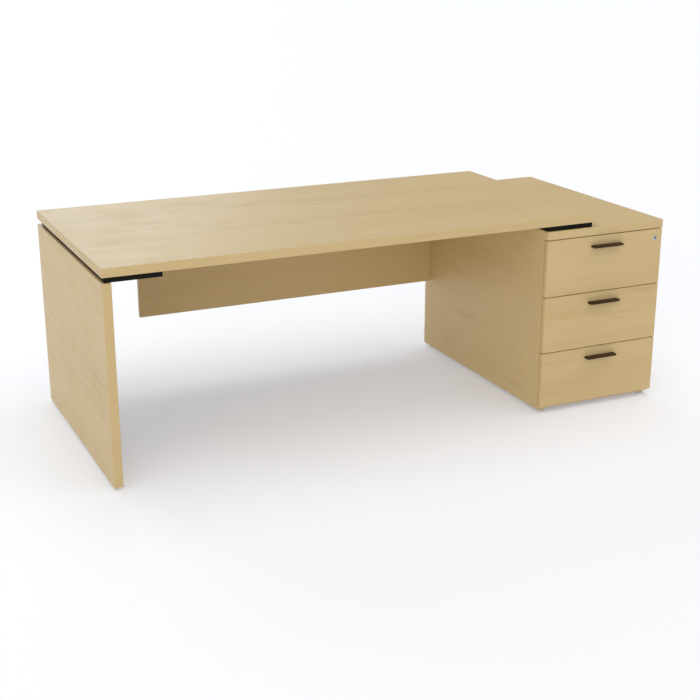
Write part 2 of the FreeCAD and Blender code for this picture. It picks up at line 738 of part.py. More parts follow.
def catch(name, member, number):
    """The drawer member on the lock's side has a tab with a hook, which the raised peg holds back."""
    axis = f"runner_axis_{number}"
    hook_height = (f"{axis} + hook_lift", f"{axis} + hook_lift + hook_height")
    tab = block(name + "_tab", from_wall("right", "drawer_web", "runner_gap"),
                ("hook_front + hook_wall - hook_length", "hook_front + hook_wall"),
                (f"{axis} + drawer_half - runner_wall", hook_height[1]))
    hook = block(name + "_hook", from_wall("right", "runner_gap - hook_reach", "runner_gap"),
                 ("hook_front", "hook_front + hook_wall"), hook_height)
    return fuse(name, [member, tab, hook])


def make_runners(number):
    screws = copies(f"cabinet_screw_holes_{number}", FLUSH_SCREW_HOLE, cabinet_screws(number))
    box_screws = copies(f"drawer_screw_holes_{number}", FLUSH_SCREW_HOLE, drawer_screws(number))
    cabinet, middle, drawer = [], [], []
    for side in WALLS:
        name = f"runner_{number}_{side}"
        outer = channel(name + "_cabinet", side, number, ("0", "cabinet_lip"), ("runner_wall", "cabinet_lip"),
                        "cabinet_half")
        cabinet.append(cut(name + "_cabinet_member", outer, [screws]))
        middle.append(channel(name + "_middle", side, number, ("middle_web", "middle_lip"),
                              ("middle_web + runner_wall", "middle_lip"), "middle_half"))
        inner = channel(name + "_drawer", side, number, ("drawer_lip", "runner_gap"),
                        ("drawer_lip", "drawer_web"), "drawer_half")
        if side == "right":
            inner = catch(name + "_catch", inner, number)
        drawer.append(cut(name + "_drawer_member", inner, [box_screws]))
    for kind, pair in (("cabinet", cabinet), ("middle", middle), ("drawer", drawer)):
        label = f"drawer_{number}_{kind}_runners"
        node(label, group(label, pair))


# Drawers

PULL_SCREW = headed("pull_screw", "pull_screw_head_diameter", "pull_screw_head_height", "pull_screw_diameter",
                    "front_thickness + pull_screw_grip")
PULL_SCREW_HOLE = rod("pull_screw_hole", "pull_screw_diameter + 2 * fit_gap",
                      "front_thickness + pull_screw_grip + fit_gap")
FRONT_BOLT = rod("front_bolt", "front_bolt_diameter", "front_bolt_length")
FRONT_BOLT_HOLE = rod("front_bolt_hole", "front_bolt_diameter + 2 * fit_gap", "front_bolt_length + fit_gap")


def pull_screw_spots(number):
    height = f"front_top_{number} - pull_drop - pull_thickness / 2"
    return [(spot(f"pedestal_middle + {side} * pull_screw_pitch / 2", "front_back", height), "-y")
            for side in (-1, 1)]


def front_bolt_spots(number):
    """Headless bolts join each front to the ends of the box sides."""
    return [(spot(middle, "front + front_bolt_skin", height), "+y")
            for middle in ("box_left + box_board / 2", "box_right - box_board / 2")
            for height in (f"box_low_{number} + front_bolt_inset", f"box_top_{number} - front_bolt_inset")]


def make_front(number):
    name = f"drawer_{number}_front"
    board = block(name + "_board", ("pedestal_left + front_side_inset", "pedestal_right - front_side_inset"),
                  ("front", "front_back"), (f"front_low_{number}", f"front_top_{number}"))
    holes = [copies(name + "_screw_holes", PULL_SCREW_HOLE, pull_screw_spots(number)),
             copies(name + "_bolt_holes", FRONT_BOLT_HOLE, front_bolt_spots(number))]
    if number == "1":
        holes.append(rod("lock_hole", "lock_body_diameter + 2 * fit_gap", "front_thickness",
                         "lock_across", "front", "lock_height", "+y"))
    node(name, cut(name, board, holes))


def make_box(number):
    """Two sides with a groove, a bottom that runs in the grooves and a back that stands on the bottom."""
    low, top = f"box_low_{number}", f"box_top_{number}"
    length = ("front_back", "box_back")
    bottom_low = f"{low} + box_bottom_rise"
    bottom_top = f"{bottom_low} + box_bottom_board"
    boards = {"left": ("box_left", "box_left + box_board"), "right": ("box_right - box_board", "box_right")}
    grooves = {"left": ("box_left + box_board - box_groove", "box_left + box_board"),
               "right": ("box_right - box_board", "box_right - box_board + box_groove")}
    for side, width in boards.items():
        name = f"drawer_{number}_{side}_side"
        board = block(name + "_board", width, length, (low, top))
        groove = block(name + "_groove", grooves[side], length,
                       (f"{bottom_low} - box_groove_play", f"{bottom_top} + box_groove_play"))
        holes = [groove, copies(name + "_bolt_holes", FRONT_BOLT_HOLE, front_bolt_spots(number)),
                 copies(name + "_screw_holes", FLUSH_SCREW_HOLE, drawer_screws(number))]
        node(name, cut(name, board, holes))
    bottom_width = ("box_left + box_board - box_groove + box_groove_play",
                    "box_right - box_board + box_groove - box_groove_play")
    bottom = f"drawer_{number}_bottom"
    node(bottom, block(bottom, bottom_width, length, (bottom_low, bottom_top)))
    back = f"drawer_{number}_back"
    node(back, block(back, ("box_left + box_board", "box_right - box_board"),
                     ("box_back - box_board", "box_back"), (bottom_top, top)))


def edges_of(feature, wanted):
    """Names of the edges of a feature that pass a test on their two ends."""
    doc.recompute()
    names = []
    for number, edge in enumerate(feature.Shape.Edges, start=1):
        if wanted(edge.Vertexes[0].Point, edge.Vertexes[-1].Point):
            names.append(f"Edge{number}")
    return feature, names


def rounding(body, feature, wanted, radius):
    """Rounds the edges that pass a test."""
    fillet = body.newObject("PartDesign::Fillet", feature.Name + "_rounding")
    fillet.Base = edges_of(feature, wanted)
    fillet.setExpression("Radius", formula(radius))
    return fillet


def make_pull(number):
    """A tab of plate, rounded at its two front corners and eased along every edge that a finger meets."""
    name = f"drawer_{number}_pull"
    body = doc.addObject("PartDesign::Body", name + "_tab")
    corners = (("0", "0"), ("pull_width", "0"), ("pull_width", "pull_reach"), ("0", "pull_reach"))
    pad = body.newObject("PartDesign::Pad", name + "_pad")
    pad.Profile = outline(body, "XY_Plane", corners)
    pad.setExpression("Length", formula("pull_thickness"))
    seat = spot("0", "pull_reach", "0").y
    near = spot("fit_gap", "0", "0").x
    tip = rounding(body, pad, lambda a, b: a.y < near and b.y < near and abs(a.z - b.z) > near, "pull_corner")
    rounding(body, tip, lambda a, b: abs(a.z - b.z) < near and min(a.y, b.y) < seat - near, "pull_edge")
    move_to(body, "pedestal_middle - pull_width / 2", "front - pull_reach",
            f"front_top_{number} - pull_drop - pull_thickness")
    node(name, cut(name, body, [copies(name + "_holes", PULL_SCREW_HOLE, pull_screw_spots(number))]))


def make_fixings(number):
    name = f"drawer_{number}_fixings"
    fixings = [copies(name + "_pull_screws", PULL_SCREW, pull_screw_spots(number)),
               copies(name + "_front_bolts", FRONT_BOLT, front_bolt_spots(number)),
               copies(name + "_runner_screws", FLUSH_SCREW, drawer_screws(number))]
    node(name, group(name, fixings))


# Lock in the top front, and the locking bar that it lifts


def make_lock():
    bore = "barrel_diameter / 2 + barrel_play"
    rear = "lock_face_thickness + front_thickness + lock_tail"
    housing = turned("lock_housing_body", (
        (bore, "0"), ("lock_face_diameter / 2", "0"), ("lock_face_diameter / 2", "lock_face_thickness"),
        ("lock_body_diameter / 2", "lock_face_thickness"), ("lock_body_diameter / 2", rear), (bore, rear)))
    node("lock_housing", move_to(housing, "lock_across", "lock_face", "lock_height", "+y"))
    shaft = "disc_front - barrel_face"
    disc_end = f"{shaft} + crank_disc_thickness"
    barrel = turned("lock_barrel_body", (
        ("0", "0"), ("barrel_diameter / 2", "0"), ("barrel_diameter / 2", shaft),
        ("crank_disc_diameter / 2", shaft), ("crank_disc_diameter / 2", disc_end), ("0", disc_end)))
    move_to(barrel, "lock_across", "barrel_face", "lock_height", "+y")
    pin = rod("crank_pin", "crank_pin_diameter", "hanger_back + crank_pin_overrun - disc_front",
              "lock_across + crank_offset", "disc_front", "slot_height", "+y")
    keyway = block("keyway", ("lock_across - keyway_width / 2", "lock_across + keyway_width / 2"),
                   ("barrel_face", "barrel_face + keyway_depth"),
                   ("lock_height - keyway_height / 2", "lock_height + keyway_height / 2"))
    node("lock_barrel", cut("lock_barrel", fuse("lock_barrel_crank", [barrel, pin]), [keyway]))


def make_locking_bar():
    """A flat bar in the groove, with a slotted hanger for the crank pin and a peg before each hook."""
    strip = block("bar_strip", ("right_wall + bar_play", "bar_outer"), ("bar_front", "bar_front + bar_width"),
                  ("bar_bottom", "hanger_top"))
    hanger = block("bar_hanger", ("hanger_left", "bar_outer"), ("hanger_front", "hanger_back"),
                   ("hanger_bottom", "hanger_top"))
    pegs = [rod(f"bar_peg_{number}", "peg_diameter", "bar_outer - right_wall + peg_reach",
                "bar_outer", "bar_middle", f"peg_axis_{number}", "-x") for number in DRAWERS]
    slot = block("bar_slot",
                 ("lock_across + crank_offset - slot_half", "lock_across + crank_radius + slot_half"),
                 ("hanger_front", "hanger_back"), ("slot_height - slot_half", "slot_height + slot_half"))
    node("locking_bar", cut("locking_bar", fuse("bar_with_pegs", [strip, hanger] + pegs), [slot]))


# Levelling feet


def make_feet():
    """Round glides with a threaded stem, each in its own insert."""
    rows = (("leg", "leg_foot_diameter", "leg_foot_height", leg_foot_spots("0"), ("front", "back")),
            ("pedestal", "pedestal_foot_diameter", "pedestal_foot_height", pedestal_foot_spots("0"),
             ("front_left", "front_right", "back_left", "back_right")))
    inserts = []
    for owner, diameter, height, points, names in rows:
        rim = f"{diameter} / 2"
        seat = f"{height} - foot_seat_gap"
        stem = "foot_stem_diameter / 2"
        end = f"{height} + foot_stem_length"
        section = (("0", "0"), (f"{rim} - foot_edge", "0"), (rim, "foot_edge"), (rim, f"{seat} - foot_edge"),
                   (f"{rim} - foot_edge", seat), (stem, seat), (stem, end), ("0", end))
        rise = spot("0", "0", height)
        for point, name in zip(points, names):
            foot = turned(f"{owner}_foot_{name}", section)
            foot.Placement = Placement(point, TURN["+z"])
            node(f"{owner}_foot_{name}", foot)
            inserts.append((point + rise, "+z"))
    node("foot_inserts", copies("foot_inserts", FOOT_INSERT, inserts))


def export():
    """Checks every object and every piece, then writes one file for each piece."""
    doc.recompute()
    for item in doc.Objects:
        if "Invalid" in item.State or "Error" in item.State:
            raise RuntimeError(f"{item.Label} failed: {item.State}")
    for piece in nodes:
        if piece.Shape.isNull() or not piece.Shape.isValid() or not piece.Shape.Solids:
            raise RuntimeError(f"{piece.Label} has no valid solid")
    os.makedirs("parts", exist_ok=True)
    for piece in nodes:
        piece.Shape.exportStep(f"parts/{piece.Label}.step")


make_worktop()
make_leg()
make_rails()
make_rail_caps()
make_rail_fasteners()
make_modesty_panel()
make_modesty_brackets()
make_carcass()
make_carcass_fasteners()
for number in DRAWERS:
    make_front(number)
    make_box(number)
    make_runners(number)
    make_pull(number)
    make_fixings(number)
make_lock()
make_locking_bar()
make_feet()
export()
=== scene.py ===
import math

import bpy
import numpy as np
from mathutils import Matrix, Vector


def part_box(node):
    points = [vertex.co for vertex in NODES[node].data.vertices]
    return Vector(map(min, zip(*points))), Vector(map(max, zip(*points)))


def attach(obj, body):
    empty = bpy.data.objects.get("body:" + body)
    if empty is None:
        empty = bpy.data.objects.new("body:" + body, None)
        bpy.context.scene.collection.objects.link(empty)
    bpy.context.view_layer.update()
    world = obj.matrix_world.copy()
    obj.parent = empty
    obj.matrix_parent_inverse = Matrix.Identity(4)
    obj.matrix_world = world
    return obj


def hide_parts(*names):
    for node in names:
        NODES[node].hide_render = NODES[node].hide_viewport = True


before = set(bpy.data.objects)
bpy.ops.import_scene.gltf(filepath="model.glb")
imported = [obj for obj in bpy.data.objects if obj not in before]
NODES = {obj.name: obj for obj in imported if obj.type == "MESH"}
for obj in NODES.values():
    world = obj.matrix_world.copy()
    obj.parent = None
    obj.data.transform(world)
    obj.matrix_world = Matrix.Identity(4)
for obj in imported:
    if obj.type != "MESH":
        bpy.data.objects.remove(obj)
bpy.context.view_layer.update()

bl_info = {
    "name": "Pedestal desk",
    "version": (1, 0, 0),
    "blender": (4, 5, 0),
    "location": "View3D > Sidebar > Desk",
    "description": "Dresses the desk's solids with edged boards, pulls, lock, feet and their finishes",
    "category": "Add Mesh",
}

DRAWERS = (1, 2, 3)
FEET = [name for name in NODES if "_foot_" in name]


# Sizes, colours and stage that a user would change


def length(label, words, default):
    """A length in metres that a user may change."""
    return bpy.props.FloatProperty(name=label, description=words, default=default, min=0.0, precision=5,
                                   unit="LENGTH")


def brightness(label, words, default):
    """A light's brightness that a user may change."""
    return bpy.props.FloatProperty(name=label, description=words, default=default, min=0.0)


def colour(label, words, default):
    """A colour that a user may change."""
    return bpy.props.FloatVectorProperty(name=label, description=words, default=default, size=4, min=0.0,
                                         max=1.0, subtype="COLOR")


class DeskSizes(bpy.types.PropertyGroup):
    """Small sizes of the visible pieces. The large ones come from the solids."""
    board_ease: length("Board ease", "Rounding along the edges of the boards", 0.001)
    board_corner: length("Board corner", "Rounding of the boards' corners in plan", 0.0015)
    edging: length("Edging", "Thickness of the strip around each board", 0.002)
    joint: length("Joint", "Width and depth of the fine line between a board's face and its edging", 0.0002)
    box_ease: length("Box ease", "Rounding along the edges of the drawer boxes' boards", 0.0015)
    pull_corner: length("Pull corner", "Rounding of the pulls' two front corners", 0.006)
    pull_ease: length("Pull ease", "Rounding along the edges of the pulls", 0.0012)
    solid_ease: length("Solid ease", "Rounding along the edges of the plain solids", 0.0005)
    lock_bevel: length("Lock bevel", "Slope around the rim of the lock's face", 0.0030)
    lock_bore: length("Lock bore", "Radius of the hole that holds the barrel", 0.00705)
    lock_lip: length("Lock lip", "Slope around the barrel's hole", 0.0004)
    lock_body: length("Lock body", "Radius of the lock's housing behind its face", 0.0095)
    lock_face: length("Lock face", "Thickness of the lock's face", 0.003)
    foot_stem: length("Foot stem", "Radius of the feet's stems", 0.004)
    foot_stem_length: length("Foot stem length", "Length of the feet's stems", 0.0133)
    foot_edge: length("Foot edge", "Rounding along the edges of the feet", 0.0015)
    foot_rib: length("Foot rib", "Depth of the grip ribs around each foot", 0.0006)
    foot_ribs: bpy.props.IntProperty(name="Foot ribs", description="Grip ribs around each foot", default=24,
                                     min=3)


class DeskColours(bpy.types.PropertyGroup):
    """Colours of the finishes."""
    wood_light: colour("Wood light", "Pale bands of the beech figure", (0.602, 0.443, 0.208, 1.0))
    wood_dark: colour("Wood dark", "Darker bands of the beech figure", (0.520, 0.366, 0.155, 1.0))
    wood_fleck: colour("Wood fleck", "Short flecks along the grain", (0.38, 0.245, 0.105, 1.0))
    wood_rubbed: colour("Wood rubbed", "Edges that hands and chairs rub", (0.645, 0.505, 0.285, 1.0))
    box_light: colour("Box light", "Pale bands of the drawer boxes", (0.66, 0.62, 0.55, 1.0))
    box_dark: colour("Box dark", "Darker bands of the drawer boxes", (0.58, 0.54, 0.46, 1.0))
    rail_black: colour("Rail black", "Powder coat of the rails", (0.0065, 0.0050, 0.0042, 1.0))
    pull_bronze: colour("Pull bronze", "Dark bronze of the pulls", (0.054, 0.0245, 0.0085, 1.0))
    # The pulls' paler edge colour is partly wear and partly a painted highlight on their ends
    pull_wear_and_highlight: colour("Pull rubbed", "Bronze along the pulls' worn edges", (0.100, 0.045, 0.025, 1.0))
    nickel: colour("Nickel", "Plate on the lock's barrel", (0.37, 0.37, 0.36, 1.0))
    rim_nickel: colour("Rim nickel", "Polished plate around the barrel", (0.80, 0.79, 0.75, 1.0))
    zinc: colour("Zinc", "Plate on the runners, screws and brackets", (0.56, 0.57, 0.58, 1.0))
    foot_beige: colour("Foot beige", "Plastic of the feet", (0.52, 0.44, 0.34, 1.0))
    cap_black: colour("Cap black", "Plastic of the rail caps", (0.0070, 0.0056, 0.0048, 1.0))
    dowel: colour("Dowel", "Raw wood of the dowels", (0.55, 0.38, 0.20, 1.0))
    floor_glow: colour("Floor glow", "Cool light of the studio floor", (0.67, 0.79, 1.0, 1.0))
    floor: colour("Floor", "Pale studio floor", (0.800, 0.770, 0.730, 1.0))


class DeskStage(bpy.types.PropertyGroup):
    """Camera and light."""
    camera_place: bpy.props.FloatVectorProperty(name="Camera", description="Where the camera stands",
                                                default=(-1.974, -4.1965, 1.752), subtype="TRANSLATION")
    camera_down: bpy.props.FloatProperty(name="Tilt", description="How far the camera looks down",
                                         default=math.radians(18.56), subtype="ANGLE")
    camera_right: bpy.props.FloatProperty(name="Turn", description="How far the camera looks to the right",
                                          default=math.radians(25.01), subtype="ANGLE")
    lens: bpy.props.FloatProperty(name="Lens", description="Focal length in millimetres", default=66.9,
                                  min=1.0)
    room: brightness("Room", "Even white light from all round", 0.42)
    glow: brightness("Glow", "Light from the studio floor itself", 0.26)
    above: brightness("Above", "Soft light from overhead", 1.36)
    behind_low: brightness("Behind low", "Narrower light that the worktop reflects", 0.95)
    behind_tint: bpy.props.FloatVectorProperty(name="Behind tint",
                                               description="Cool colour of the low light behind",
                                               default=(0.7, 0.84, 1.0), subtype="COLOR")
    front_left: brightness("Front left", "Soft light from the front on the left", 0.12)
    front_low: brightness("Front low", "Low light that reaches under the worktop", 0.95)


# Surfaces


STRIP_MAP = "strip"
RUB = "rub"
# Faces that meet at more than this stay sharp to the eye
SHARP_ANGLE = math.radians(40)
# Share of an eased edge that counts as rubbed
RUBBED_SHARE = 0.95
# How plain solids are eased: points closer than this are joined, and edges sharper than this are rounded
JOIN_REACH = 1e-5
EASE_ANGLE = math.radians(50)
EASE_STEPS = 2


def mesh_piece(name, points, faces, body, materials, uv=None, face_slots=None, flat_faces=(),
               rub=None):
    """A finished piece from arrays of points and faces, riding on a body."""
    mesh = bpy.data.meshes.new(name)
    mesh.from_pydata(points.tolist(), [], faces)
    smooth = np.ones(len(faces), bool)
    smooth[list(flat_faces)] = False
    mesh.polygons.foreach_set("use_smooth", smooth)
    for material in materials:
        mesh.materials.append(material)
    if face_slots is not None:
        mesh.polygons.foreach_set("material_index", np.asarray(face_slots, np.int32))
    if uv is not None:
        mesh.uv_layers.new(name=STRIP_MAP).data.foreach_set("uv", np.asarray(uv, np.float32).ravel())
    if rub is not None:
        wear = mesh.attributes.new(RUB, "FLOAT", "POINT")
        wear.data.foreach_set("value", np.asarray(rub, np.float32).ravel())
    mesh.set_sharp_from_angle(angle=SHARP_ANGLE)
    mesh.update()
    piece = bpy.data.objects.new(name, mesh)
    bpy.context.scene.collection.objects.link(piece)
    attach(piece, body)
    return piece


def ring_faces(rings, around):
    """Four-sided faces between neighbouring rings of points, each ring closed on itself."""
    ring, step = np.meshgrid(np.arange(rings - 1), np.arange(around), indexing="ij")
    after = (step + 1) % around
    quads = np.stack([ring * around + step, ring * around + after, (ring + 1) * around + after,
                      (ring + 1) * around + step], axis=-1)
    return quads.reshape(-1, 4)


def board_section(thickness, ease, edging, joint, steps=5):
    """Half section of a board as (inset, height), from one face's rim round two eased edges to the other.

    Each eased edge is a quarter circle: inset = ease - ease * sin(t), height = ease - ease * cos(t).
    A board with edging has a fine V groove at the strip's inner side on both faces.
    """
    turn = np.linspace(0.0, np.pi / 2, steps)
    low = np.stack([ease - ease * np.sin(turn), ease - ease * np.cos(turn)], axis=-1)
    if edging:
        groove = np.array([[edging + joint, 0.0], [edging, joint], [edging - joint, 0.0]])
        low = np.concatenate([groove, low])
    high = low[::-1] * (1.0, -1.0) + (0.0, thickness)
    return np.concatenate([low, high])


def plan_ring(size, corners, inset, steps=6):
    """Rounded rectangles in plan, one for each inset.

    Round each corner, point = centre + radius * (cos t, sin t). An inset takes its amount off each
    radius, and moves the centre in once the radius is used up.
    """
    corners = np.asarray(corners, float)
    turn = np.linspace(0.0, np.pi / 2, steps)[None, :] + np.arange(4)[:, None] * np.pi / 2
    out = np.stack([np.cos(turn), np.sin(turn)], axis=-1)
    sign = np.array([[1, 1], [-1, 1], [-1, -1], [1, -1]], float)
    radius = np.maximum(corners[None, :] - inset[:, None], 0.0)
    reach = np.maximum(corners[None, :], inset[:, None])
    centre = sign[None] * (np.asarray(size, float) / 2 - reach[..., None])
    ring = centre[:, :, None, :] + radius[:, :, None, None] * out[None]
    return ring.reshape(len(inset), -1, 2)


def board(name, low, high, across, corners, ease, edging, joint, body, materials):
    """A board between two corner points: rounded rectangles stacked up the thickness by the half section.

    across is the axis of the thickness. The faces take the first material, and the strip round the edge
    takes the last. The strip's map runs along its length in u and up the section in v.
    """
    low, high = np.array(low), np.array(high)
    plan = [(across + 1) % 3, (across + 2) % 3]
    size = high - low
    section = board_section(size[across], ease, edging, joint)
    ring = plan_ring(size[plan], corners, section[:, 0])
    rings, around = ring.shape[:2]
    points = np.empty((rings, around, 3))
    points[..., plan] = ring + (low + high)[plan] / 2
    points[..., across] = low[across] + section[:, 1][:, None]
    quads = ring_faces(rings, around)
    caps = [list(range(around))[::-1], list(range((rings - 1) * around, rings * around))]
    faces = quads.tolist() + caps
    edge = np.linalg.norm(np.diff(np.concatenate([ring[0], ring[0][:1]]), axis=0), axis=1)
    run = np.concatenate([[0.0], np.cumsum(edge)])
    rise = np.concatenate([[0.0], np.cumsum(np.linalg.norm(np.diff(section, axis=0), axis=1))])
    row, step = np.meshgrid(np.arange(rings - 1), np.arange(around), indexing="ij")
    u = np.stack([run[step], run[step + 1], run[step + 1], run[step]], axis=-1)
    v = np.stack([rise[row], rise[row], rise[row + 1], rise[row + 1]], axis=-1)
    caps_uv = np.concatenate([ring[0][::-1], ring[-1]])
    uv = np.concatenate([np.stack([u, v], axis=-1).reshape(-1, 2), caps_uv])
    strip = np.full((rings - 1, around), len(materials) - 1)
    groove_rows = 2 if edging else 0
    strip[:groove_rows] = 0
    strip[rings - 1 - groove_rows:] = 0
    face_slots = strip.ravel().tolist() + [0, 0]
    count = len(faces)
    half = size[across] / 2
    rubbed = ease * RUBBED_SHARE
    eased = (section[:, 0] < rubbed) & (np.abs(section[:, 1] - half) > half - rubbed)
    rub = np.repeat(eased[:, None], around, axis=1)
    return mesh_piece(name, points.reshape(-1, 3), faces, body, materials, uv, face_slots,
                      (count - 2, count - 1), rub)


def turned(name, section, centre, axis, body, material, around=64, ripple=None):
    """A round piece: section points (radius, height) carried round an axis.

    point = centre + height * axis + radius * (cos t * first + sin t * second), with first and second square
    to the axis. A ripple, one depth for each section point, takes depth * (1 + cos(ribs * t)) / 2 off the
    radius.
    """
    section = np.asarray(section, float)
    turn = np.arange(around) / around * 2 * np.pi
    axis = np.asarray(axis, float)
    first = np.roll(axis, 1)
    second = np.cross(axis, first)
    radius = np.repeat(section[:, :1], around, axis=1)
    if ripple is not None:
        depth, ribs = ripple
        radius = radius - np.asarray(depth)[:, None] * (1 + np.cos(ribs * turn))[None] / 2
    spoke = np.cos(turn)[:, None] * first + np.sin(turn)[:, None] * second
    points = np.asarray(centre) + section[:, 1, None, None] * axis + radius[..., None] * spoke[None]
    rings = len(section)
    faces = ring_faces(rings, around).tolist()
    if not np.allclose(section[0], section[-1]):
        faces += [list(range(around))[::-1], list(range((rings - 1) * around, rings * around))]
    return mesh_piece(name, points.reshape(-1, 3), faces, body, [material])


def ease_solid(node, width):
    """Eases the sharp edges of a plain solid without touching its own mesh."""
    weld = node.modifiers.new("Join", "WELD")
    weld.merge_threshold = JOIN_REACH
    bevel = node.modifiers.new("Ease", "BEVEL")
    bevel.width = width
    bevel.segments = EASE_STEPS
    bevel.limit_method = "ANGLE"
    bevel.angle_limit = EASE_ANGLE
    bevel.harden_normals = True


def paint(node, material):
    """Gives a solid its finish."""
    node.data.materials.clear()
    node.data.materials.append(material)


# Finishes


VECTOR, COLOUR, NUMBER = "NodeSocketVector", "NodeSocketColor", "NodeSocketFloat"
# A colour mix takes its sockets by number, because its other kinds of sockets have the same names
MIX_FACTOR, MIX_FIRST, MIX_SECOND, MIX_RESULT = 0, 6, 7, 2
# How often each pattern repeats in a metre: first along the grain, then along the two axes across it
BANDS = (0.7, 7.0, 7.0)
STREAKS = (2.4, 85.0, 85.0)
GRAIN_LINES = (9.0, 900.0, 900.0)
ARCH_BEND = (1.3, 5.0, 5.0)
FLECKS = (130.0, 1000.0, 1000.0)
FLECK_PATCHES = (5.0, 30.0, 30.0)
DASHES = (5.0, 42.0, 42.0)
DASH_CLUSTERS = (2.2, 9.0, 9.0)
DRAWN_LINES = (12.0, 1600.0, 1600.0)
STAINS = (14.0, 25.0, 25.0)
HANDLING = (7.0, 7.0, 7.0)
RUB_PATCHES = (28.0, 28.0, 28.0)
FLOOR_CLOUDS = (0.6, 0.6, 0.6)
# How far the arches sway in metres, and their turns in radians for each metre across the grain
ARCH_SWAY = 0.35
ARCH_TURNS = 95.0
# Shares of the patterns in the wood's tone and the metal's tone
BAND_SHARE, STREAK_SHARE, ARCH_SHARE = 0.84, 0.16, 0.02
LINE_SHARE, STAIN_SHARE = 0.4, 0.6
# Depth of a fleck against that of the grain's lines
FLECK_DEPTH = -0.8
SPECK_LIFT = (1.6, 1.6, 1.6, 1.0)
STAIN_TINT = (0.74, 0.74, 0.75, 1.0)
# How much rougher handling makes each kind of finish
WOOD_HAZE, COAT_HAZE, METAL_HAZE = 0.06, 0.12, 0.1
# Depth of the relief in metres, and how strongly the wood shows it
WOOD_RELIEF, METAL_RELIEF = 0.00004, 0.00001
WOOD_RELIEF_SHOWN = 0.6
ALONG_Y = (0.0, 0.0, -math.pi / 2)
ALONG_Z = (0.0, math.pi / 2, 0.0)


def add(tree, kind, inputs=None, **settings):
    """A node with its settings. Inputs are values, or sockets to link from."""
    node = tree.nodes.new(kind)
    for name, value in settings.items():
        setattr(node, name, value)
    for name, value in (inputs or {}).items():
        if isinstance(value, bpy.types.NodeSocket):
            tree.links.new(value, node.inputs[name])
        else:
            node.inputs[name].default_value = value
    return node


def noise(tree, vector, stretch, detail=3.0, roughness=0.55, distortion=0.0):
    """Noise whose cells are one over stretch metres along each axis."""
    scaled = add(tree, "ShaderNodeVectorMath", {0: vector, 1: stretch}, operation="MULTIPLY")
    texture = add(tree, "ShaderNodeTexNoise", {"Vector": scaled.outputs[0], "Scale": 1.0, "Detail": detail,
                                               "Roughness": roughness, "Distortion": distortion})
    return texture.outputs["Fac"]


def spread(tree, value, low, high, to_low=0.0, to_high=1.0):
    """A value between two limits spread smoothly over another range."""
    limits = {"Value": value, "From Min": low, "From Max": high, "To Min": to_low, "To Max": to_high}
    return add(tree, "ShaderNodeMapRange", limits, interpolation_type="SMOOTHSTEP").outputs["Result"]


def plus(tree, first, second):
    """The sum of two values."""
    return add(tree, "ShaderNodeMath", {0: first, 1: second}, operation="ADD").outputs[0]


def times(tree, first, second):
    """The product of two values."""
    return add(tree, "ShaderNodeMath", {0: first, 1: second}, operation="MULTIPLY").outputs[0]


def blend(tree, factor, first, second, mode="MIX"):
    """Two colours mixed by a factor."""
    colours = {MIX_FACTOR: factor, MIX_FIRST: first, MIX_SECOND: second}
    return add(tree, "ShaderNodeMix", colours, data_type="RGBA", blend_type=mode).outputs[MIX_RESULT]


def new_group(name, inputs, outputs):
    """An empty node group with named sockets, and its two ends."""
    group = bpy.data.node_groups.new(name, "ShaderNodeTree")
    for label, kind in inputs:
        group.interface.new_socket(label, in_out="INPUT", socket_type=kind)
    for label, kind in outputs:
        group.interface.new_socket(label, in_out="OUTPUT", socket_type=kind)
    return group, group.nodes.new("NodeGroupInput").outputs, group.nodes.new("NodeGroupOutput").inputs


def wood_group():
    """Beech figure along X: broad bands, fine streaks, soft dashes in clusters, faint arches and flecks."""
    group, given, result = new_group(
        "beech_figure",
        [("Vector", VECTOR), ("Light", COLOUR), ("Dark", COLOUR), ("Fleck", COLOUR),
         ("Fleck Amount", NUMBER)],
        [("Color", COLOUR), ("Roughness", NUMBER), ("Height", NUMBER)])
    vector = given["Vector"]
    bands = noise(group, vector, BANDS, detail=3.0, roughness=0.6)
    streaks = noise(group, vector, STREAKS, detail=4.0, roughness=0.65)
    lines = noise(group, vector, GRAIN_LINES, detail=2.0, roughness=0.5)
    bend = noise(group, vector, ARCH_BEND, detail=1.0)
    place = add(group, "ShaderNodeSeparateXYZ", {0: vector}).outputs
    level = plus(group, plus(group, place["Y"], place["Z"]), times(group, bend, ARCH_SWAY))
    arches = add(group, "ShaderNodeMath", {0: times(group, level, ARCH_TURNS)}, operation="SINE").outputs[0]
    cells = add(group, "ShaderNodeVectorMath", {0: vector, 1: FLECKS}, operation="MULTIPLY")
    grains = add(group, "ShaderNodeTexVoronoi", {"Vector": cells.outputs[0], "Scale": 1.0})
    flecks = spread(group, grains.outputs["Distance"], 0.16, 0.34, to_low=1.0, to_high=0.0)
    patches = spread(group, noise(group, vector, FLECK_PATCHES, detail=1.0), 0.4, 0.65)
    flecks = times(group, flecks, patches)
    dashes = noise(group, vector, DASHES, detail=4.0, roughness=0.62)
    clusters = spread(group, noise(group, vector, DASH_CLUSTERS, detail=2.0), 0.42, 0.68)
    accents = times(group, spread(group, dashes, 0.50, 0.76, to_high=0.5), clusters)
    tone = plus(group, times(group, bands, BAND_SHARE), times(group, streaks, STREAK_SHARE))
    tone = plus(group, plus(group, tone, accents), times(group, arches, ARCH_SHARE))
    wood = blend(group, spread(group, tone, 0.34, 1.00), given["Light"], given["Dark"])
    amount = times(group, flecks, given["Fleck Amount"])
    sheen = spread(group, plus(group, streaks, lines), 0.7, 1.3, to_low=0.36, to_high=0.5)
    group.links.new(blend(group, amount, wood, given["Fleck"]), result["Color"])
    group.links.new(sheen, result["Roughness"])
    group.links.new(plus(group, lines, times(group, flecks, FLECK_DEPTH)), result["Height"])
    return group


